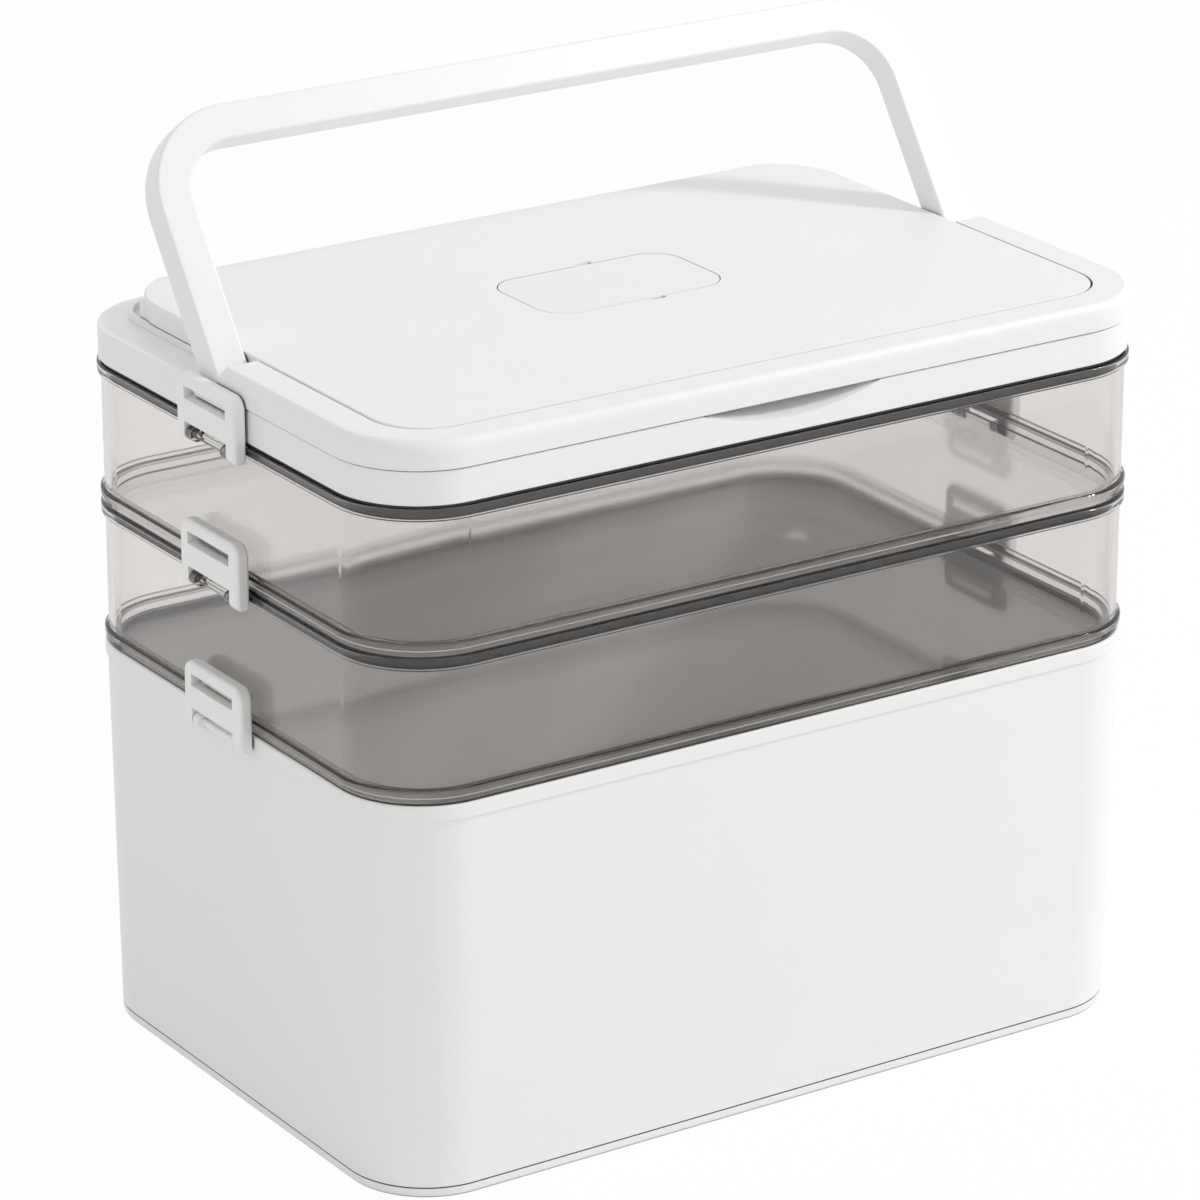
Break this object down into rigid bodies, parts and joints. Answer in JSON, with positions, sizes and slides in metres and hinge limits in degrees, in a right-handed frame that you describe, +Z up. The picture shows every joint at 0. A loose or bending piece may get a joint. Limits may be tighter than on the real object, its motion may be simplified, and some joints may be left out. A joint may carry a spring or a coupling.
{
  "type": "medicine storage box",
  "caption": "Stacking medicine box: deep base, clear nesting trays, flip lid with finger scoop, swinging carry handle and hinged side snap clips.",
  "frame": {"origin": "centre of the footprint, on the surface the box stands on", "axes": "+Z up, the front with the finger scoop faces -Y, +X to the right seen from the front"},
  "size_m": [0.3428, 0.2266, 0.3568],
  "materials": {
    "white_plastic": "satin white moulding",
    "clip_plastic": "smooth white moulding",
    "plate_plastic": "fine satin inlay",
    "smoke_plastic": "clear smoke-tinted moulding",
    "seal_rubber": "soft dark seal",
    "pin_steel": "plain steel pin"
  },
  "bodies": {
    "box": {"base_pan": "white_plastic", "bottom_box": "white_plastic", "middle_tray": "smoke_plastic", "upper_tray": "smoke_plastic", "lid_gasket": "seal_rubber", "lid_frame": "white_plastic", "clip_pin_left_lower": "white_plastic", "clip_pin_left_middle": "smoke_plastic", "clip_pin_left_upper": "smoke_plastic", "clip_pin_right_lower": "white_plastic", "clip_pin_right_middle": "smoke_plastic", "clip_pin_right_upper": "smoke_plastic"},
    "flip_lid": {"lid_deck": "white_plastic", "lid_front_rim": "white_plastic", "deck_plate": "plate_plastic", "lid_pin_left": "pin_steel", "lid_pin_right": "pin_steel"},
    "carry_handle": {"handle": "white_plastic", "handle_pin_left": "pin_steel", "handle_pin_right": "pin_steel"},
    "left_lower_clip": {"clip_left_lower": "clip_plastic"},
    "left_middle_clip": {"clip_left_middle": "clip_plastic"},
    "left_upper_clip": {"clip_left_upper": "clip_plastic"},
    "right_lower_clip": {"clip_right_lower": "clip_plastic"},
    "right_middle_clip": {"clip_right_middle": "clip_plastic"},
    "right_upper_clip": {"clip_right_upper": "clip_plastic"}
  },
  "joints": [
    {"name": "lid_hinge", "type": "hinge", "parent": "box", "child": "flip_lid", "pos_m": [0, 0.09715, 0.27705], "axis": [-1, 0, 0], "range_deg": [0, 38]},
    {"name": "handle_pivot", "type": "hinge", "parent": "box", "child": "carry_handle", "pos_m": [0, 0.0089, 0.2776], "axis": [-1, 0, 0], "range_deg": [-35, 0]},
    {"name": "left_lower_clip_hinge", "type": "hinge", "parent": "box", "child": "left_lower_clip", "pos_m": [-0.1687, -0.0012, 0.1465], "axis": [0, -1, 0], "range_deg": [0, 170]},
    {"name": "left_middle_clip_hinge", "type": "hinge", "parent": "box", "child": "left_middle_clip", "pos_m": [-0.1687, -0.0012, 0.2005], "axis": [0, -1, 0], "range_deg": [0, 170]},
    {"name": "left_upper_clip_hinge", "type": "hinge", "parent": "box", "child": "left_upper_clip", "pos_m": [-0.1687, -0.0012, 0.2545], "axis": [0, -1, 0], "range_deg": [0, 170]},
    {"name": "right_lower_clip_hinge", "type": "hinge", "parent": "box", "child": "right_lower_clip", "pos_m": [0.1687, -0.0012, 0.1465], "axis": [0, 1, 0], "range_deg": [0, 170]},
    {"name": "right_middle_clip_hinge", "type": "hinge", "parent": "box", "child": "right_middle_clip", "pos_m": [0.1687, -0.0012, 0.2005], "axis": [0, 1, 0], "range_deg": [0, 170]},
    {"name": "right_upper_clip_hinge", "type": "hinge", "parent": "box", "child": "right_upper_clip", "pos_m": [0.1687, -0.0012, 0.2545], "axis": [0, 1, 0], "range_deg": [0, 170]}
  ]
}
